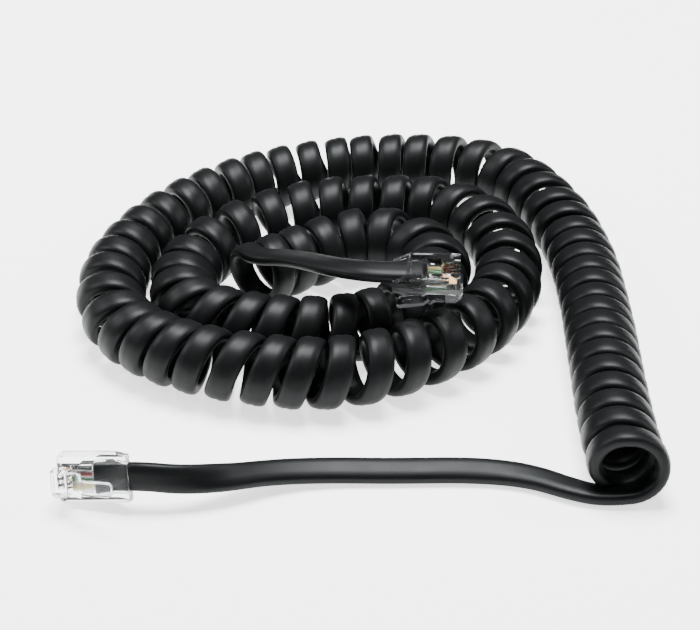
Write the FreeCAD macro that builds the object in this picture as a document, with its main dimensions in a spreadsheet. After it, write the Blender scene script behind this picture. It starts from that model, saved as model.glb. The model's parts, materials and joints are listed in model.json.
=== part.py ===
"""Coiled telephone handset cord: a curly flat cord with a straight lead and a
four-way modular plug at each end, lying in an inward spiral on a flat surface.

Units are millimetres and degrees. +X runs right, +Y away from the base plug, +Z up.
The origin is on the resting surface, under the middle of the whole part.
"""
import FreeCAD
import Part
import Sketcher
import math
import os
import re

V = FreeCAD.Vector

# Driving dimensions: (alias, value, what it is)
SIZES = [
    ("coil_diameter", 13.0, "outside diameter of the curly stretch"),
    ("cord_width", 4.8, "flat cord, across its wide face"),
    ("cord_thickness", 2.5, "flat cord, through its wide face"),
    ("plug_length", 11.9, "plug body, nose to rear mouth"),
    ("plug_width", 7.65, "plug body, across the contacts"),
    ("plug_thickness", 3.3, "plug body without its latch"),
    ("nose_height", 6.6, "plug nose with the latch root"),
    ("nose_block_length", 3.0, "latch root, along the plug"),
    ("nose_block_reach", 0.5, "latch root, standing proud of the nose"),
    ("nose_block_width", 4.1, "latch root, across the plug"),
    ("nose_chamfer", 1.2, "chamfer at the foot of the nose"),
    ("rear_slope_length", 3.0, "slope over the cord entry"),
    ("rear_slope_drop", 1.6, "depth of that slope at the mouth"),
    ("cavity_clearance", 0.1, "gap between the jacket and its cavity"),
    ("jacket_depth", 6.0, "jacket held inside the plug"),
    ("wire_diameter", 0.95, "insulated conductor"),
    ("wire_pitch", 1.02, "spacing of conductors and contacts"),
    ("wire_drop", 0.4, "conductor axis below the middle of the body"),
    ("wire_end", 9.9, "far end of the conductors"),
    ("wire_clearance", 0.03, "gap round a conductor in its channel"),
    ("cut_margin", 0.05, "how far a cut runs past what it clears"),
    ("contact_thickness", 0.3, "contact blade"),
    ("contact_slot", 0.34, "slot that holds a contact blade"),
    ("contact_start", 8.8, "rear edge of the contact blades"),
    ("contact_length", 2.4, "contact blade, along the plug"),
    ("contact_recess", 0.35, "contact top below the face of the body"),
    ("contact_height", 1.9, "contact blade, from edge to tip"),
    ("wire_clamp_start", 6.2, "rear wall of the conductor clamp window"),
    ("wire_clamp_length", 2.3, "conductor clamp window, along the plug"),
    ("wire_clamp_width", 4.4, "conductor clamp window, across the plug"),
    ("jacket_clamp_start", 3.2, "rear wall of the jacket clamp window"),
    ("jacket_clamp_length", 2.2, "jacket clamp window, along the plug"),
    ("jacket_clamp_width", 5.0, "jacket clamp window, across the plug"),
    ("clamp_gap", 0.15, "gap round a clamp in its window"),
    ("clamp_bite", 0.2, "how far a clamp presses into what it holds"),
    ("clamp_height", 0.55, "clamp bar, top to bottom"),
    ("latch_thickness", 0.9, "latch strip and tab"),
    ("latch_gap", 0.15, "slit between the latch and the nose block"),
    ("latch_strip_length", 1.6, "wide part of the latch, behind the nose block"),
    ("latch_ramp_length", 2.2, "shoulder ramp, along the plug"),
    ("latch_ramp_drop", 1.6, "shoulder ramp, depth"),
    ("latch_tab_length", 4.8, "narrow thumb tab"),
    ("latch_tab_width", 2.4, "thumb tab, across the plug"),
    ("latch_tab_drop", 0.8, "fall of the thumb tab towards its end"),
]

# The curly stretch's axis, from its base end to its handset end.
CURLY_ROUTE = [
    (44.7, -55.6), (44.2, -42.6), (44.7, -22.1), (45.2, -2.6), (44.7, 16.9),
    (41.2, 35.4), (32.7, 53.4), (14.7, 57.4), (-3.3, 55.4), (-19.3, 48.9),
    (-32.3, 37.9), (-41.3, 23.9), (-45.8, 7.9), (-43.8, -8.6), (-32.8, -19.6),
    (-18.3, -25.1), (-3.3, -27.1), (10.5, -21.0), (21.5, -12.0), (28.7, 0.4),
    (30.7, 13.4), (28.2, 27.4), (19.2, 36.9), (5.7, 37.4), (-6.3, 35.9),
    (-17.3, 30.4), (-25.5, 21.4), (-30.8, 10.4), (-28.6, -1.4), (-19.3, -8.6),
    (-9.3, -12.1), (1.4, -10.7), (9.8, -4.2), (14.0, 4.5), (15.7, 14.9),
    (9.2, 22.9), (-0.8, 22.4), (-8.0, 16.7), (-13.6, 11.6), (-16.1, 8.2),
]

# The base lead's axis, from the curly stretch to the mouth of the base plug.
BASE_LEAD_ROUTE = [
    (43.7, -53.8, 1.32), (37.7, -52.9, 1.32), (30.2, -50.0, 1.32), (20.2, -48.4, 1.32),
    (6.7, -48.9, 1.32), (-3.8, -48.7, 1.4), (-12.8, -50.6, 2.5), (-20.8, -53.8, 4.2),
    (-27.8, -56.2, 5.5), (-35.6, -56.1, 5.743),
]

# The handset lead's axis, from the curly stretch to the mouth of the handset plug.
HANDSET_LEAD_ROUTE = [
    (-17.2, 9.0, 11.7), (-12.8, 3.2, 14.3), (-8.4, -3.3, 16.6), (-3.8, -8.8, 18.5),
    (1.2, -12.0, 19.4), (7.3, -13.5, 19.6),
]

# Plug places: the middle of the rear mouth, then yaw, pitch and roll.
PLUGS = {
    "base": ((-35.6, -56.1, 5.743), (168.0, 8.0, 105.5)),
    "handset": ((7.3, -13.5, 19.6), (-3.0, 0.0, 9.0)),
}
ARC_SHARE = 0.45
# Conductor order across each plug. The two ends are reversed, as on any handset cord.
WIRE_COLOURS = {
    "base": ["yellow", "green", "red", "black"],
    "handset": ["black", "red", "green", "yellow"],
}

doc = FreeCAD.newDocument("handset_cord")
sheet = doc.addObject("Spreadsheet::Sheet", "Sizes")
for row, (alias, value, meaning) in enumerate(SIZES, start=1):
    sheet.set(f"A{row}", meaning)
    sheet.set(f"B{row}", str(value))
    sheet.setAlias(f"B{row}", alias)
doc.recompute()
subparts = []


def size(alias):
    """The value of one driving dimension."""
    return float(sheet.get(alias))


def formula(text):
    """Write each alias in a formula as a reference to its cell."""
    aliases = "|".join(alias for alias, _, _ in SIZES)
    return re.sub(rf"\b({aliases})\b", r"Sizes.\1", text)


def bind(thing, **formulas):
    """Bind properties of an object to formulas in the driving dimensions."""
    for name, text in formulas.items():
        thing.setExpression(name, formula(text))
    return thing


def move(thing, x="0", y="0", z="0"):
    """Bind an object's place to formulas."""
    for axis, text in zip("xyz", (x, y, z)):
        thing.setExpression("Placement.Base." + axis, formula(text))
    return thing


def box(name, length, width, height, x="0", z="0", y=None):
    """A block that is centred across the plug unless y is given."""
    block = bind(doc.addObject("Part::Box", name), Length=length, Width=width, Height=height)
    return move(block, x, f"-({width}) / 2" if y is None else y, z)


def cylinder(name, radius, length, x, y, z):
    """A cylinder whose axis runs along the plug."""
    rod = bind(doc.addObject("Part::Cylinder", name), Radius=radius, Height=length)
    rod.Placement.Rotation = FreeCAD.Rotation(V(0, 1, 0), 90)
    return move(rod, x, y, z)


def profile(name, corners, width):
    """An outline in the plug's length and height, extruded evenly across its width."""
    outline = doc.addObject("Part::Feature", name + "_outline")
    outline.Shape = Part.makePolygon([V(x, 0, z) for x, z in corners + corners[:1]])
    body = doc.addObject("Part::Extrusion", name)
    body.Base = outline
    body.DirMode = "Custom"
    body.Dir = V(0, 1, 0)
    body.Solid = True
    body.Symmetric = True
    return bind(body, LengthFwd=width)


def join(name, pieces):
    fused = doc.addObject("Part::MultiFuse", name)
    fused.Shapes = pieces
    return fused


def cut(name, base, tools):
    carved = doc.addObject("Part::Cut", name)
    carved.Base = base
    carved.Tool = tools[0] if len(tools) == 1 else join(name + "_tools", tools)
    return carved


def finish(node, thing, placement=None):
    """Give a sub-part its own label and its place in the whole."""
    thing.Label = node
    if placement is not None:
        thing.Placement = placement
    subparts.append(thing)
    return thing


def rounded_route(points):
    """Straight runs joined by tangent arcs, each as large as its two runs allow."""
    points = [V(*point) for point in points]
    edges, radii, start = [], [], points[0]
    for before, corner, after in zip(points, points[1:], points[2:]):
        back = (before - corner).normalize()
        ahead = (after - corner).normalize()
        half_turn = (math.pi - back.getAngle(ahead)) / 2
        reach = ARC_SHARE * min((before - corner).Length, (after - corner).Length)
        radii.append(reach / math.tan(half_turn))
        first, last = corner + back * reach, corner + ahead * reach
        towards_centre = (back + ahead).normalize()
        depth = radii[-1] * (1 / math.cos(half_turn) - 1)
        edges.append(Part.LineSegment(start, first).toShape())
        edges.append(Part.Arc(first, corner + towards_centre * depth, last).toShape())
        start = last
    edges.append(Part.LineSegment(start, points[-1]).toShape())
    return Part.Wire(edges), radii


def sweep(name, route, section):
    """Sweep a closed section that stands at the start of a route along it."""
    spine = doc.addObject("Part::Feature", name + "_route")
    spine.Shape, radii = rounded_route(route)
    path = doc.addObject("Part::Sweep", name)
    path.Sections = [section]
    path.Spine = (spine, [f"Edge{i + 1}" for i in range(len(spine.Shape.Edges))])
    path.Solid = True
    path.Frenet = False
    print(name, "length", round(spine.Shape.Length, 1), "radii", [round(r, 1) for r in radii])
    return path, spine


def facing(route):
    """The place of a section at a route's start: local X across, local Y up."""
    start, ahead = V(*route[0]), V(*route[1]) - V(*route[0])
    across = ahead.cross(V(0, 0, 1))
    return FreeCAD.Placement(start, FreeCAD.Rotation(across, ahead.cross(-across), ahead, "ZXY"))


def stadium(name, placement):
    """The flat cord's section: a sketch with two straight faces and two round edges."""
    sketch = doc.addObject("Sketcher::SketchObject", name)
    radius = size("cord_thickness") / 2
    flat = size("cord_width") / 2 - radius
    right = Part.Circle(V(flat, 0, 0), V(0, 0, 1), radius)
    left = Part.Circle(V(-flat, 0, 0), V(0, 0, 1), radius)
    quarter = math.pi / 2
    sketch.addGeometry([
        Part.LineSegment(V(-flat, -radius, 0), V(flat, -radius, 0)),
        Part.ArcOfCircle(right, -quarter, quarter),
        Part.LineSegment(V(flat, radius, 0), V(-flat, radius, 0)),
        Part.ArcOfCircle(left, quarter, 3 * quarter),
    ], False)
    for line, line_end, arc, arc_end in ((0, 2, 1, 1), (1, 2, 2, 1), (2, 2, 3, 1), (3, 2, 0, 1)):
        sketch.addConstraint(Sketcher.Constraint("Tangent", line, line_end, arc, arc_end))
    sketch.addConstraint(Sketcher.Constraint("Horizontal", 0))
    sketch.addConstraint(Sketcher.Constraint("Symmetric", 1, 3, 3, 3, -1, 1))
    thickness = sketch.addConstraint(Sketcher.Constraint("Radius", 1, radius))
    width = sketch.addConstraint(Sketcher.Constraint("DistanceX", 3, 3, 1, 3, 2 * flat))
    sketch.setExpression(f"Constraints[{thickness}]", formula("cord_thickness / 2"))
    sketch.setExpression(f"Constraints[{width}]", formula("cord_width - cord_thickness"))
    sketch.Placement = placement
    return sketch


def curly_cord():
    """The coiled stretch, as one tube of the coil's outside diameter."""
    route = [(x, y, size("coil_diameter") / 2) for x, y in CURLY_ROUTE]
    ring = bind(doc.addObject("Part::Circle", "curly_section"), Radius="coil_diameter / 2")
    ring.Placement = facing(route)
    tube, spine = sweep("curly_tube", route, ring)
    finish("curly_cord", tube)
    return tube, spine.Shape.Length * math.pi * (size("coil_diameter") / 2) ** 2


def lead(node, route):
    """A straight flat lead that lies with its wide face up."""
    tube, spine = sweep(node + "_tube", route, stadium(node + "_section", facing(route)))
    finish(node, tube)
    thick, wide = size("cord_thickness"), size("cord_width")
    return tube, spine.Shape.Length * (math.pi * thick ** 2 / 4 + thick * (wide - thick))


def housing(side, place):
    """The clear plug body with its latch root, cord cavity, windows, channels and slots."""
    length, top = size("plug_length"), size("plug_thickness") / 2
    foot = top - size("nose_height")
    bevel, slope = size("nose_chamfer"), size("rear_slope_length")
    shell = profile(side + "_shell", [
        (0, -top), (length, -top), (length, top), (slope, top),
        (0, top - size("rear_slope_drop")),
    ], "plug_width")
    nose = length + size("nose_block_reach")
    block = profile(side + "_block", [
        (nose - size("nose_block_length"), 0), (length - bevel, 0), (length - bevel, -top),
        (nose, -top), (nose, foot + bevel), (nose - bevel, foot),
        (nose - size("nose_block_length"), foot),
    ], "nose_block_width")
    tools = [
        box(side + "_cavity", "jacket_depth + 1", "cord_width + 2 * cavity_clearance",
            "cord_thickness + 2 * cavity_clearance", x="-1",
            z="-cord_thickness / 2 - cavity_clearance"),
        box(side + "_wire_window", "wire_clamp_length", "wire_clamp_width",
            "plug_thickness / 2 + wire_drop", x="wire_clamp_start", z="-wire_drop"),
        box(side + "_jacket_window", "jacket_clamp_length", "jacket_clamp_width",
            "plug_thickness / 2", x="jacket_clamp_start"),
    ]
    for index, lane in lanes():
        tools.append(cylinder(f"{side}_channel_{index}", "wire_diameter / 2 + wire_clearance",
                              "wire_end - jacket_depth + 2 * cut_margin",
                              "jacket_depth - cut_margin", lane,
                              "-wire_drop"))
        tools.append(box(f"{side}_slot_{index}", "plug_length - contact_start + 1",
                         "contact_slot", "plug_thickness + 1", x="contact_start - cut_margin",
                         y=f"{lane} - contact_slot / 2",
                         z="plug_thickness / 2 - contact_recess - contact_height - cut_margin"))
    moulded = join(side + "_moulded", [shell, block])
    finish(side + "_plug_housing", cut(side + "_housing", moulded, tools), place)


def lanes():
    """Each conductor's number and its place across the plug."""
    return [(index, f"{index - 2.5} * wire_pitch") for index in range(1, 5)]


def in_plug(node, piece, place):
    """Put a piece that was placed within its plug where that plug lies."""
    holder = doc.addObject("Part::Compound", node)
    holder.Links = [piece]
    finish(node, holder, place)


def conductors_and_contacts(side, place):
    """Four insulated conductors side by side, each pierced by its contact blade."""
    for index, lane in lanes():
        wire = cylinder(f"{side}_wire_{index}", "wire_diameter / 2", "wire_end - jacket_depth",
                        "jacket_depth", lane, "-wire_drop")
        in_plug(f"{side}_conductor_{WIRE_COLOURS[side][index - 1]}", wire, place)
        blade = box(f"{side}_blade_{index}", "contact_length", "contact_thickness",
                    "contact_height", x="contact_start", y=f"{lane} - contact_thickness / 2",
                    z="plug_thickness / 2 - contact_recess - contact_height")
        in_plug(f"{side}_contact_{index}", blade, place)


def jacket_end(side, place):
    """The end of the flat cord's jacket, held inside the plug."""
    turned = FreeCAD.Rotation(V(0, 1, 0), V(0, 0, 1), V(1, 0, 0), "ZXY")
    stub = doc.addObject("Part::Extrusion", side + "_stub")
    stub.Base = stadium(side + "_stub_section", FreeCAD.Placement(V(0, 0, 0), turned))
    stub.DirMode = "Custom"
    stub.Dir = V(1, 0, 0)
    stub.Solid = True
    in_plug(side + "_jacket_end", bind(stub, LengthFwd="jacket_depth"), place)


def clamps(side, place):
    """The two bars pressed in to hold the conductors and the jacket."""
    for name, floor in (("wire", "wire_diameter / 2 - wire_drop"), ("jacket", "cord_thickness / 2")):
        bar = box(f"{side}_{name}_bar", f"{name}_clamp_length - 2 * clamp_gap",
                  f"{name}_clamp_width - 2 * clamp_gap", "clamp_height",
                  x=f"{name}_clamp_start + clamp_gap", z=f"{floor} - clamp_bite")
        in_plug(f"{side}_{name}_clamp", bar, place)


def latch(side, place):
    """The sprung latch: a wide strip behind the nose, a shoulder ramp and a thumb tab."""
    thick = size("latch_thickness")
    nose = size("plug_length") + size("nose_block_reach")
    hinge = nose - size("nose_block_length") - size("latch_gap")
    foot = size("plug_thickness") / 2 - size("nose_height")
    ramp = hinge - size("latch_strip_length")
    tab = ramp - size("latch_ramp_length")
    tip = tab - size("latch_tab_length")
    tab_foot = foot - size("latch_ramp_drop")
    tip_foot = tab_foot - size("latch_tab_drop")
    middle = (ramp + tab) / 2
    middle_foot = (foot + tab_foot) / 2
    strip = profile(side + "_latch_strip", [
        (hinge, foot), (hinge, foot + thick), (ramp, foot + thick),
        (middle, middle_foot + thick), (middle, middle_foot), (ramp, foot),
    ], "nose_block_width")
    thumb = profile(side + "_latch_tab", [
        (ramp, foot), (ramp, foot + thick), (tab, tab_foot + thick), (tip, tip_foot + thick),
        (tip, tip_foot), (tab, tab_foot),
    ], "latch_tab_width")
    finish(side + "_latch", join(side + "_latch_pieces", [strip, thumb]), place)


def check_and_write():
    """Stop on any failed object, then write each sub-part to its own file."""
    doc.recompute()
    for thing in doc.Objects:
        if "Invalid" in thing.State or "Error" in thing.State:
            raise RuntimeError(f"{thing.Name} failed: {thing.State}")
    os.makedirs("parts", exist_ok=True)
    for thing in subparts:
        shape = thing.Shape
        if shape.isNull() or not shape.isValid():
            raise RuntimeError(f"{thing.Label} has no valid shape")
        shape.exportStep(f"parts/{thing.Label}.step")
        print(f"{thing.Label}: {len(shape.Solids)} solid, {shape.Volume:.2f} mm3")
    whole = Part.makeCompound([thing.Shape for thing in subparts]).BoundBox
    print("box", whole)


tubes = [curly_cord(), lead("base_lead", BASE_LEAD_ROUTE),
         lead("handset_lead", HANDSET_LEAD_ROUTE)]
for side, (mouth, angles) in PLUGS.items():
    place = FreeCAD.Placement(V(*mouth), FreeCAD.Rotation(*angles))
    housing(side, place)
    latch(side, place)
    jacket_end(side, place)
    clamps(side, place)
    conductors_and_contacts(side, place)
check_and_write()
for tube, expected in tubes:
    print(f"{tube.Label}: volume {tube.Shape.Volume:.0f}, section times length {expected:.0f}")
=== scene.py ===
"""A coiled telephone handset cord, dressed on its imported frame.

One flat black strand runs from the base plug along the floor, winds into the curly
stretch, and leaves it for the handset plug, which lies over the coils. Units are metres.
"""
import json
import math
import random

import bpy
from mathutils import Euler, Matrix, Vector

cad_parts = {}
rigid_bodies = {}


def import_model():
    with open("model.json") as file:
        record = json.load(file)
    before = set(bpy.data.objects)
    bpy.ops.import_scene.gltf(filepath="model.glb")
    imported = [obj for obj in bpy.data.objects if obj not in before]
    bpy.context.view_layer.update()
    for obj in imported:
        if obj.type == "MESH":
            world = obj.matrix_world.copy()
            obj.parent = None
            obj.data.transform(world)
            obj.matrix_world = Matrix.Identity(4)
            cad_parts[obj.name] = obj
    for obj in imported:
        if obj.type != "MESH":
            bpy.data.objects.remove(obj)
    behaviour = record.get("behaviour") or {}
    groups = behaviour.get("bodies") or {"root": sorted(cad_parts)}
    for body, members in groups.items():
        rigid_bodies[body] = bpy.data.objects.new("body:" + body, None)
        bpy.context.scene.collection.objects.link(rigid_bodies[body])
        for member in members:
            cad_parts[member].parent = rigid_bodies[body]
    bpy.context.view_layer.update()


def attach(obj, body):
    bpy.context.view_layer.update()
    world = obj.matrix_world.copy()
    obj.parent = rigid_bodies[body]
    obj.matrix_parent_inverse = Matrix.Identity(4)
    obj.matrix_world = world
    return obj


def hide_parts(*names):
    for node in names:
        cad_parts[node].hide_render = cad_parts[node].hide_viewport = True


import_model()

MM = 0.001

# ---------------------------------------------------------------- sizes
STRAND_WIDTH = 4.8 * MM
STRAND_THICKNESS = 2.5 * MM
FLOOR_CLEARANCE = 0.01 * MM

# The strand's section. Exponents under 1 fill its corners out towards a rectangle. The
# shoulder's place and both widths are shares of half the strand's width, and its dip is
# a share of half the thickness.
OUTLINE_POINTS = 28
EDGE_FULLNESS = 0.82
FACE_FULLNESS = 0.70
GROOVE_DEPTH = 0.10 * MM
GROOVE_WIDTH = 0.11
SHOULDER_DIP = 0.025
SHOULDER_PLACE = 0.52
SHOULDER_WIDTH = 0.10

# The winding. Its turns stand upright where the axis runs along +Y, and slump over most
# where it runs back along -Y. Its first turns lean and swing out a little further.
WINDING_RADIUS = 5.25 * MM
RINGS_PER_TURN = 34
START_TURN = -0.5
AXIS_SPARE = 0.1 * MM
HEADING_STEP = 4 * MM
SLUMP = math.radians(9)
SLUMP_REACH = 0.8
SLUMP_FADE_TURNS = 2.5
END_LEAN = math.radians(7)
END_LEAN_START = -0.1
END_LEAN_TURNS = 1.3
TILT_LIFT = 1.0 * MM
FIRST_STEP = 0.3
FIRST_SWING = 0.11
FIRST_SWING_TURNS = 0.8

# How far each turn strays from its neighbours, along the axis and as a share of its radius.
SWAY_SEED = 11
SWAY_ALONG = 0.28 * MM
SWAY_ASIDE = 0.012

# The leads. The places inside a plug are in millimetres along its own X, from the
# strand's end to just behind the mouth. Twists and tilt are measured along the strand
# from that end. The joins are in millimetres, before the first turn and after the last.
INSIDE_PLUG = (6.0, 2.0, -2.5)
LEAD_RING_STEP = 1.0 * MM
LEAD_TILT = math.radians(18)
TWIST_START = 7 * MM
TWIST_END = 30 * MM
TILT_END = 62 * MM
HANDSET_TWIST_SPARE = 3 * MM
BASE_JOIN = 3.6
HANDSET_JOIN = 2.6

# The plugs.
BODY_EDGE = 0.14 * MM
LATCH_EDGE = 0.16 * MM
EDGE_SEGMENTS = 2
SHARP_ANGLE = math.radians(35)
FLAT_ANGLE = math.radians(1)
MERGE_DISTANCE = 0.001 * MM
TAB_CORNER = 0.85 * MM
TAB_SEGMENTS = 5
TAB_TIP_REACH = 0.3 * MM
TAB_LEVEL = 0.01 * MM
TAB_HEIGHT = 0.4 * MM
RIM_SHARPNESS = 5.0

# The axis of the curly stretch, from its base end to its handset end.
CURLY_ROUTE = [
    (44.7, -55.6), (44.2, -42.6), (44.7, -22.1), (45.2, -2.6), (44.7, 16.9),
    (41.2, 35.4), (32.7, 53.4), (14.7, 57.4), (-3.3, 55.4), (-19.3, 48.9),
    (-32.3, 37.9), (-41.3, 23.9), (-45.8, 7.9), (-43.8, -8.6), (-32.8, -19.6),
    (-18.3, -25.1), (-3.3, -27.1), (10.5, -21.0), (21.5, -12.0), (28.7, 0.4),
    (30.7, 13.4), (28.2, 27.4), (19.2, 36.9), (5.7, 37.4), (-6.3, 35.9),
    (-17.3, 30.4), (-26.3, 21.8), (-32.0, 9.8), (-31.0, -4.2), (-20.7, -10.2),
    (-9.6, -12.5), (1.5, -10.9), (10.0, -4.4), (15.6, 3.8), (17.0, 14.7),
    (9.7, 23.1), (-0.8, 22.4), (-8.1, 16.7), (-14.6, 12.0), (-19.0, 8.2),
]
AXIS_HEIGHT = 6.5

# Where each turn passes over the top, along the axis from its base end, in millimetres.
TURN_TOPS = [
    1.4, 7.9, 13.0, 18.4, 23.9, 29.2, 34.1, 39.0, 43.9, 48.9, 54.1, 59.2, 64.2, 69.8,
    75.2, 81.7, 87.9, 94.9, 101.4, 108.0, 115.2, 121.7, 128.3, 133.8, 140.0, 145.4,
    151.4, 157.6, 163.5, 169.1, 175.8, 181.9, 189.0, 195.7, 202.3, 209.0, 215.3, 222.8,
    230.0, 235.5, 240.5, 245.7, 251.1, 257.6, 263.6, 269.2, 274.8, 281.5, 288.2, 295.2,
    302.0, 308.9, 315.6, 321.6, 329.2, 336.9, 344.7, 351.8, 358.9, 365.3, 371.7, 378.3,
    384.6, 391.9, 399.6, 408.2, 416.2, 422.4, 427.7, 432.9, 438.7, 445.0, 450.2, 455.9,
    461.7, 467.1, 473.6, 480.3, 487.3, 493.3, 500.1, 508.3, 515.0, 521.5, 527.6, 532.9,
    537.8,
]

# Each plug's rear mouth, then its yaw, pitch and roll in degrees.
PLUGS = {
    "base": ((-35.6, -56.1, 5.743), (168.0, 8.0, 105.5)),
    "handset": ((7.3, -13.5, 19.6), (-3.0, 0.0, 9.0)),
}


def plug_place(side):
    """The matrix that carries a plug's own frame, nose along +X, to where it lies."""
    mouth, (yaw, pitch, roll) = PLUGS[side]
    turn = Euler((math.radians(roll), math.radians(pitch), math.radians(yaw)), "XYZ")
    return Matrix.Translation(Vector(mouth) * MM) @ turn.to_matrix().to_4x4()


# ---------------------------------------------------------------- camera and light
def add_camera():
    eye = Vector((-0.3, -305.95, 183.13)) * MM
    target = Vector((-0.3, -6.1, 6.5)) * MM
    turn = (target - eye).to_track_quat("-Z", "Y").to_euler()
    bpy.ops.object.camera_add(location=eye, rotation=turn)
    camera = bpy.context.object
    camera.name = "camera"
    camera.data.sensor_width = 36.0
    camera.data.lens = 97.35
    camera.data.clip_start = 0.01
    bpy.context.scene.camera = camera


def add_area(name, at, size, power):
    """A square softbox that looks at the middle of the cord."""
    at = Vector(at)
    turn = (-at).to_track_quat("-Z", "Y").to_euler()
    bpy.ops.object.light_add(type="AREA", location=at, rotation=turn)
    lamp = bpy.context.object
    lamp.name = name
    lamp.data.shape = "SQUARE"
    lamp.data.size = size
    lamp.data.energy = power


def add_lights():
    add_area("overhead_softbox", at=(0.0, 0.15, 0.75), size=0.38, power=21.0)
    add_area("left_softbox", at=(-0.6, 0.05, 0.5), size=0.35, power=4.0)
    add_area("right_softbox", at=(0.6, 0.1, 0.4), size=0.3, power=2.0)
    world = bpy.data.worlds.new("studio")
    world.use_nodes = True
    background = world.node_tree.nodes["Background"]
    background.inputs["Color"].default_value = (0.95, 0.97, 1.0, 1)
    background.inputs["Strength"].default_value = 0.15
    bpy.context.scene.world = world


add_camera()
add_lights()


# ---------------------------------------------------------------- shader maths
class Shade:
    """A socket in one material, so that expressions on values add their Math nodes."""

    def __init__(self, tree, socket):
        self.tree = tree
        self.socket = socket

    def node(self, kind, settings=None, **inputs):
        """Add a node: its settings first, then the values or links of its sockets."""
        made = self.tree.nodes.new(kind)
        for name, value in (settings or {}).items():
            setattr(made, name, value)
        for name, value in inputs.items():
            numbered = name[0] == "i" and name[1:].isdigit()
            socket = made.inputs[int(name[1:]) if numbered else name.replace("_", " ")]
            if isinstance(value, Shade):
                self.tree.links.new(value.socket, socket)
            else:
                socket.default_value = value
        return made

    def of(self, socket):
        return Shade(self.tree, socket)

    def math(self, operation, *values):
        made = self.node("ShaderNodeMath", {"operation": operation},
                         **{f"i{i}": value for i, value in enumerate(values)})
        return self.of(made.outputs[0])

    def __add__(self, other):
        return self.math("ADD", self, other)

    def __radd__(self, other):
        return self.math("ADD", other, self)

    def __mul__(self, other):
        return self.math("MULTIPLY", self, other)

    def __rmul__(self, other):
        return self.math("MULTIPLY", other, self)

    def mix(self, low, high):
        """Colour low where this value is 0 and colour high where it is 1."""
        made = self.node("ShaderNodeMix", {"data_type": "RGBA"}, i0=self, i6=low, i7=high)
        return self.of(made.outputs[2])


def new_material(name):
    material = bpy.data.materials.new(name)
    material.use_nodes = True
    shader = material.node_tree.nodes["Principled BSDF"]
    return material, shader, Shade(material.node_tree, None)


def place_coords(start):
    return start.of(start.node("ShaderNodeTexCoord").outputs["Object"])


def noise(start, coords, scale, detail=3.0, roughness=0.55):
    made = start.node("ShaderNodeTexNoise", Vector=coords, Scale=scale, Detail=detail,
                      Roughness=roughness)
    return start.of(made.outputs["Fac"])


def feed(value, socket):
    value.tree.links.new(value.socket, socket)


def bump(start, shader, height, strength, distance):
    made = start.node("ShaderNodeBump", Strength=strength, Distance=distance, Height=height)
    feed(start.of(made.outputs["Normal"]), shader.inputs["Normal"])


def spread(value, low, high):
    """Stretch a 0-to-1 value over a range."""
    return value * (high - low) + low


def black_jacket():
    """Satin black vinyl with a faint grain, dust in its hollows and handling marks."""
    material, shader, start = new_material("black_jacket")
    coords = place_coords(start)
    grain = noise(start, coords, scale=4200.0, detail=2.0)
    mottle = noise(start, coords, scale=240.0, detail=4.0)
    wear = noise(start, coords, scale=60.0, detail=5.0, roughness=0.65)
    feed(mottle.mix((0.0022, 0.0026, 0.0028, 1), (0.0048, 0.0053, 0.0055, 1)),
         shader.inputs["Base Color"])
    feed(spread(wear, 0.30, 0.46) + mottle * 0.08, shader.inputs["Roughness"])
    bump(start, shader, grain * 0.5 + mottle, strength=0.16, distance=0.06 * MM)
    shader.inputs["Specular IOR Level"].default_value = 0.12
    shader.inputs["Specular Tint"].default_value = (0.95, 0.99, 1.0, 1)
    return material


def clear_plastic():
    """Clear plastic with soft moulding ripples, fine scuffs and a painted grey edge outline."""
    material, shader, start = new_material("clear_plastic")
    coords = place_coords(start)
    ripple = noise(start, coords, scale=420.0, detail=2.0)
    scuff = noise(start, coords, scale=1600.0, detail=4.0, roughness=0.7)
    feed(ripple.mix((0.88, 0.90, 0.91, 1), (0.97, 0.98, 0.98, 1)),
         shader.inputs["Base Color"])
    feed(spread(scuff, 0.0, 0.04), shader.inputs["Roughness"])
    bump(start, shader, ripple, strength=0.04, distance=0.1 * MM)
    shader.inputs["IOR"].default_value = 1.18
    shader.inputs["Transmission Weight"].default_value = 1.0
    # Painted reflection: a grey surface is mixed in at glancing angles, as an outline standing
    # in for the reflections at the plastic's edges.
    rim = start.node("ShaderNodeLayerWeight", Blend=0.5)
    facing = start.of(rim.outputs["Facing"])
    painted_edge_outline = start.node("ShaderNodeBsdfPrincipled", Base_Color=(0.22, 0.22, 0.23, 1),
                       Roughness=0.3)
    shell = start.node("ShaderNodeMixShader",
                       Fac=facing.math("POWER", facing, RIM_SHARPNESS))
    start.tree.links.new(shader.outputs[0], shell.inputs[1])
    start.tree.links.new(painted_edge_outline.outputs[0], shell.inputs[2])
    feed(start.of(shell.outputs[0]),
         start.tree.nodes["Material Output"].inputs["Surface"])
    return material


def wire_insulation(name, dark, light):
    """Matte coloured insulation with slight streaks."""
    material, shader, start = new_material(name)
    coords = place_coords(start)
    streak = noise(start, coords, scale=900.0, detail=3.0)
    feed(streak.mix(dark, light), shader.inputs["Base Color"])
    feed(spread(streak, 0.35, 0.55), shader.inputs["Roughness"])
    bump(start, shader, streak, strength=0.1, distance=0.05 * MM)
    return material


def gold_contact():
    """Worn gold over nickel on the contact blades."""
    material, shader, start = new_material("gold_contact")
    coords = place_coords(start)
    wipe = noise(start, coords, scale=1300.0, detail=4.0, roughness=0.6)
    feed(wipe.mix((0.48, 0.24, 0.10, 1), (0.85, 0.54, 0.27, 1)), shader.inputs["Base Color"])
    feed(spread(wipe, 0.16, 0.38), shader.inputs["Roughness"])
    shader.inputs["Metallic"].default_value = 1.0
    bump(start, shader, wipe, strength=0.08, distance=0.03 * MM)
    return material


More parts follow.
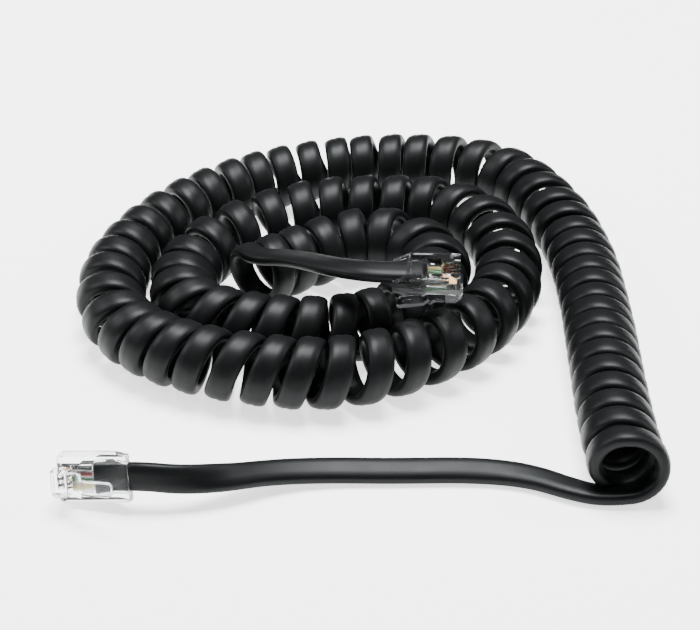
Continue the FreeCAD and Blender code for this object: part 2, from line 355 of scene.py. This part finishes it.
def pale_floor():
    """A plain matte white sweep."""
    material, shader, start = new_material("pale_floor")
    coords = place_coords(start)
    tone = noise(start, coords, scale=6.0, detail=2.0)
    feed(tone.mix((0.90, 0.90, 0.90, 1), (0.93, 0.93, 0.93, 1)), shader.inputs["Base Color"])
    shader.inputs["Roughness"].default_value = 0.85
    shader.inputs["Specular IOR Level"].default_value = 0.1
    shader.inputs["Emission Color"].default_value = (1.0, 1.0, 1.0, 1)
    shader.inputs["Emission Strength"].default_value = 1.7
    return material


JACKET = black_jacket()
CLEAR = clear_plastic()
GOLD = gold_contact()
INSULATION = {
    "black": wire_insulation("black_insulation", dark=(0.012, 0.012, 0.013, 1),
                             light=(0.03, 0.03, 0.03, 1)),
    "red": wire_insulation("red_insulation", dark=(0.16, 0.018, 0.02, 1),
                           light=(0.26, 0.035, 0.035, 1)),
    "green": wire_insulation("green_insulation", dark=(0.03, 0.13, 0.06, 1),
                             light=(0.06, 0.22, 0.10, 1)),
    "yellow": wire_insulation("yellow_insulation", dark=(0.55, 0.42, 0.16, 1),
                              light=(0.75, 0.62, 0.30, 1)),
}


# ---------------------------------------------------------------- floor
def add_floor():
    bpy.ops.mesh.primitive_plane_add(size=3.0, location=(0, 0, -0.00005))
    floor = bpy.context.object
    floor.name = "studio_floor"
    bpy.ops.object.transform_apply(location=True, rotation=True, scale=True)
    floor.data.materials.append(pale_floor())


add_floor()


# ---------------------------------------------------------------- the strand's centreline
def spline_points(name, points):
    """Read the smooth line that a NURBS spline draws through its control points."""
    curve = bpy.data.curves.new(name, "CURVE")
    curve.dimensions = "3D"
    spline = curve.splines.new("NURBS")
    spline.points.add(len(points) - 1)
    for point, place in zip(spline.points, points):
        point.co = (*place, 1.0)
    spline.order_u = 3
    spline.use_endpoint_u = True
    spline.resolution_u = 24
    line = bpy.data.objects.new(name, curve)
    bpy.context.scene.collection.objects.link(line)
    mesh = bpy.data.meshes.new_from_object(line)
    places = [vertex.co.copy() for vertex in mesh.vertices]
    bpy.data.objects.remove(line)
    bpy.data.curves.remove(curve)
    bpy.data.meshes.remove(mesh)
    return places


class Line:
    """A line of places that can be asked for its place and heading at any distance."""

    def __init__(self, places):
        self.places = places
        self.reach = [0.0]
        for before, after in zip(places, places[1:]):
            self.reach.append(self.reach[-1] + (after - before).length)
        self.length = self.reach[-1]
        self.found = 0

    def at(self, distance):
        distance = min(max(distance, 0.0), self.length)
        while self.found and self.reach[self.found] > distance:
            self.found -= 1
        while self.found < len(self.reach) - 2 and self.reach[self.found + 1] < distance:
            self.found += 1
        i = self.found
        share = (distance - self.reach[i]) / max(self.reach[i + 1] - self.reach[i], 1e-9)
        return self.places[i].lerp(self.places[i + 1], share)

    def heading(self, distance, step=1.5 * MM):
        return (self.at(distance + step) - self.at(distance - step)).normalized()


UP = Vector((0, 0, 1))


def eased(value):
    value = min(max(value, 0.0), 1.0)
    return value * value * (3 - 2 * value)


def tops_to_axis(turn):
    """Distance along the axis at a count of turns; turn 0 is the first pass over the top."""
    if turn <= 0:
        return (TURN_TOPS[0] + turn * FIRST_STEP) * MM
    low = min(int(turn), len(TURN_TOPS) - 2)
    return (TURN_TOPS[low] + (turn - low) * (TURN_TOPS[low + 1] - TURN_TOPS[low])) * MM


def winding():
    """The curly stretch: places on the strand, and the way its wide face looks."""
    axis = Line(spline_points("curly_axis", [(x * MM, y * MM, AXIS_HEIGHT * MM)
                                             for x, y in CURLY_ROUTE]))
    last_turn = len(TURN_TOPS) - 1
    fit = axis.length / (tops_to_axis(last_turn) + AXIS_SPARE)
    loose = random.Random(SWAY_SEED)
    sway = [loose.uniform(-1, 1) for _ in range(last_turn + 3)]
    places, faces = [], []
    steps = int((last_turn - START_TURN) * RINGS_PER_TURN)
    for step in range(steps + 1):
        turn = START_TURN + step / RINGS_PER_TURN
        along = tops_to_axis(turn) * fit
        slump = SLUMP * eased(SLUMP_REACH * (1 - axis.heading(along, HEADING_STEP).y))
        slump *= eased((last_turn - turn) / SLUMP_FADE_TURNS)
        tilt = slump + END_LEAN * (1 - eased((turn - END_LEAN_START) / END_LEAN_TURNS))
        along -= WINDING_RADIUS * math.sin(slump)
        middle, ahead = axis.at(along), axis.heading(along, HEADING_STEP)
        left = UP.cross(ahead).normalized()
        angle = math.pi / 2 - 2 * math.pi * turn
        low = int(turn + 1)
        share = turn + 1 - low
        give = sway[low] * (1 - share) + sway[low + 1] * share
        swing = FIRST_SWING * (1 - eased((turn - START_TURN) / FIRST_SWING_TURNS))
        side = left * (1 + SWAY_ASIDE * give + swing)
        rise = UP * math.cos(tilt) + ahead * math.sin(tilt)
        out = side * math.cos(angle) + rise * math.sin(angle)
        stray = ahead * (SWAY_ALONG * give * math.cos(angle + give))
        lift = UP * (TILT_LIFT * math.sin(tilt))
        places.append(middle + out * WINDING_RADIUS + (stray + lift))
        faces.append(out.normalized())
    return places, faces


def lead_line(name, side, route, reverse):
    """One straight lead, from inside its plug to the curly stretch, or the other way."""
    place = plug_place(side)
    inside = [place @ Vector((x * MM, 0, 0)) for x in INSIDE_PLUG]
    points = inside + [Vector(point) * MM for point in route]
    return spline_points(name, points[::-1] if reverse else points)


curly_places, curly_faces = winding()
start_heading = (curly_places[1] - curly_places[0]).normalized()
end_heading = (curly_places[-1] - curly_places[-2]).normalized()

# Control points between each plug and the curly stretch, starting at the plug.
BASE_ROUTE = [
    (-27.8, -56.4, 5.3), (-20.8, -54.2, 4.1), (-12.8, -50.4, 2.6), (-3.8, -48.7, 1.75),
    (6.7, -48.8, 1.65), (20.2, -48.4, 1.6), (29.4, -49.8, 1.45), (36.2, -53.6, 1.3),
]
HANDSET_ROUTE = [
    (1.2, -12.2, 19.3), (-3.8, -8.4, 18.0), (-8.4, -2.7, 16.1), (-12.6, 2.4, 13.9),
]

base_join = curly_places[0] - start_heading * BASE_JOIN * MM
handset_join = curly_places[-1] + end_heading * HANDSET_JOIN * MM
base_points = BASE_ROUTE + [tuple(base_join / MM), tuple(curly_places[0] / MM)]
handset_points = HANDSET_ROUTE + [tuple(handset_join / MM), tuple(curly_places[-1] / MM)]
base_line = Line(lead_line("base_lead_line", "base", base_points, False))
handset_line = Line(lead_line("handset_lead_line", "handset", handset_points, True))


def lead_rings(line, plug_end, stages):
    """Places along a lead; its wide face turns through stages of (distance from plug, face)."""
    count = int(line.length / LEAD_RING_STEP)
    places, faces = [], []
    for step in range(count + 1):
        along = line.length * step / count
        from_plug = line.length - along if plug_end else along
        face = stages[0][1]
        for (begin, before), (end, after) in zip(stages, stages[1:]):
            if from_plug > begin:
                face = before.lerp(after, eased((from_plug - begin) / (end - begin)))
        places.append(line.at(along))
        faces.append(face.normalized())
    return places, faces


base_face = plug_place("base").to_3x3() @ UP
handset_face = plug_place("handset").to_3x3() @ UP
tilted = Vector((0, math.sin(LEAD_TILT), -math.cos(LEAD_TILT)))
base_places, base_faces = lead_rings(base_line, False, [
    (TWIST_START, base_face), (TWIST_END, tilted), (TILT_END, tilted),
    (base_line.length, curly_faces[0])])
handset_places, handset_faces = lead_rings(handset_line, True, [
    (TWIST_START, handset_face),
    (handset_line.length - HANDSET_TWIST_SPARE, curly_faces[-1])])
strand_places = base_places[:-1] + curly_places + handset_places[1:]
strand_faces = base_faces[:-1] + curly_faces + handset_faces[1:]


# ---------------------------------------------------------------- the strand
def strand_outline():
    """The flat section: round edges, crowned wide faces, and a faint groove down each."""
    outline = []
    for k in range(OUTLINE_POINTS):
        angle = 2 * math.pi * k / OUTLINE_POINTS
        across, through = math.cos(angle), math.sin(angle)
        width = math.copysign(abs(across) ** EDGE_FULLNESS, across)
        height = math.copysign(abs(through) ** FACE_FULLNESS, through)
        groove = GROOVE_DEPTH * math.exp(-(width / GROOVE_WIDTH) ** 2)
        shoulder = math.exp(-((abs(width) - SHOULDER_PLACE) / SHOULDER_WIDTH) ** 2)
        crown = 1 - SHOULDER_DIP * shoulder
        outline.append((STRAND_WIDTH / 2 * width,
                        (STRAND_THICKNESS / 2 * crown - groove) * height))
    return outline


def strand_mesh(name, places, faces, outline):
    """Skin a row of section rings and close both ends."""
    vertices, polygons = [], []
    for i, place in enumerate(places):
        before, after = places[max(i - 1, 0)], places[min(i + 1, len(places) - 1)]
        ahead = (after - before).normalized()
        face = (faces[i] - ahead * faces[i].dot(ahead)).normalized()
        across = face.cross(ahead)
        for width, height in outline:
            corner = place + across * width + face * height
            corner.z = max(corner.z, FLOOR_CLEARANCE)
            vertices.append(corner)
    count = len(outline)
    for ring in range(len(places) - 1):
        for k in range(count):
            a, b = ring * count + k, ring * count + (k + 1) % count
            polygons.append((a, b, b + count, a + count))
    polygons.append(tuple(range(count))[::-1])
    polygons.append(tuple(range(len(vertices) - count, len(vertices))))
    mesh = bpy.data.meshes.new(name)
    mesh.from_pydata(vertices, [], polygons)
    mesh.polygons.foreach_set("use_smooth", [True] * len(polygons))
    piece = bpy.data.objects.new(name, mesh)
    bpy.context.scene.collection.objects.link(piece)
    return piece


strand = strand_mesh("cord_strand", strand_places, strand_faces, strand_outline())
strand.data.materials.append(JACKET)
strand_length = sum((b - a).length for a, b in zip(strand_places, strand_places[1:]))
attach(strand, "cord")
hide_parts("curly_cord", "base_lead", "handset_lead", "base_jacket_end",
            "handset_jacket_end")


# ---------------------------------------------------------------- the plugs
def pick(*pieces):
    bpy.ops.object.select_all(action="DESELECT")
    for piece in pieces:
        piece.select_set(True)
    bpy.context.view_layer.objects.active = pieces[0]


def round_tab(piece, side):
    """Round the two corners at the free end of a latch's thumb tab."""
    inverse = plug_place(side).inverted()
    local = [inverse @ vertex.co for vertex in piece.data.vertices]
    tip = min(place.x for place in local)
    bpy.ops.object.mode_set(mode="EDIT")
    bpy.ops.mesh.select_mode(type="EDGE")
    bpy.ops.mesh.select_all(action="DESELECT")
    bpy.ops.object.mode_set(mode="OBJECT")
    for edge in piece.data.edges:
        a, b = (local[i] for i in edge.vertices)
        at_tip = max(a.x, b.x) < tip + TAB_TIP_REACH
        upright = abs(a.y - b.y) < TAB_LEVEL and abs(a.z - b.z) > TAB_HEIGHT
        edge.select = at_tip and upright
    bpy.ops.object.mode_set(mode="EDIT")
    bpy.ops.mesh.bevel(offset=TAB_CORNER, segments=TAB_SEGMENTS, affect="EDGES")
    bpy.ops.object.mode_set(mode="OBJECT")


def softened(node, name, width, tab_side=None):
    """A copy of a frame solid with its edges rounded over, ready for a finish."""
    source = bpy.data.objects[node]
    piece = bpy.data.objects.new(name, source.data.copy())
    bpy.context.scene.collection.objects.link(piece)
    pick(piece)
    bpy.ops.object.mode_set(mode="EDIT")
    bpy.ops.mesh.select_all(action="SELECT")
    bpy.ops.mesh.remove_doubles(threshold=MERGE_DISTANCE)
    bpy.ops.mesh.dissolve_limited(angle_limit=FLAT_ANGLE)
    bpy.ops.mesh.normals_make_consistent(inside=False)
    bpy.ops.object.mode_set(mode="OBJECT")
    if tab_side:
        round_tab(piece, tab_side)
    edge = piece.modifiers.new("rounded_edges", "BEVEL")
    edge.width = width
    edge.segments = EDGE_SEGMENTS
    edge.limit_method = "ANGLE"
    edge.angle_limit = SHARP_ANGLE
    bpy.ops.object.modifier_apply(modifier=edge.name)
    bpy.ops.object.shade_smooth_by_angle(angle=SHARP_ANGLE)
    return piece


on_cord = []
for side in PLUGS:
    shell = softened(f"{side}_plug_housing", f"{side}_clear_body", BODY_EDGE)
    tab = softened(f"{side}_latch", f"{side}_clear_latch", LATCH_EDGE, tab_side=side)
    for piece, body, node in ((shell, "cord", f"{side}_plug_housing"),
                              (tab, f"{side}_latch_body", f"{side}_latch")):
        piece.data.materials.clear()
        piece.data.materials.append(CLEAR)
        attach(piece, body)
        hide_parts(node)
    on_cord += [shell, tab]
    for name in ("wire_clamp", "jacket_clamp"):
        bpy.data.objects[f"{side}_{name}"].material_slots[0].material = CLEAR
    for colour, finish in INSULATION.items():
        conductor = bpy.data.objects[f"{side}_conductor_{colour}"]
        conductor.material_slots[0].material = finish
    for index in range(1, 5):
        bpy.data.objects[f"{side}_contact_{index}"].material_slots[0].material = GOLD
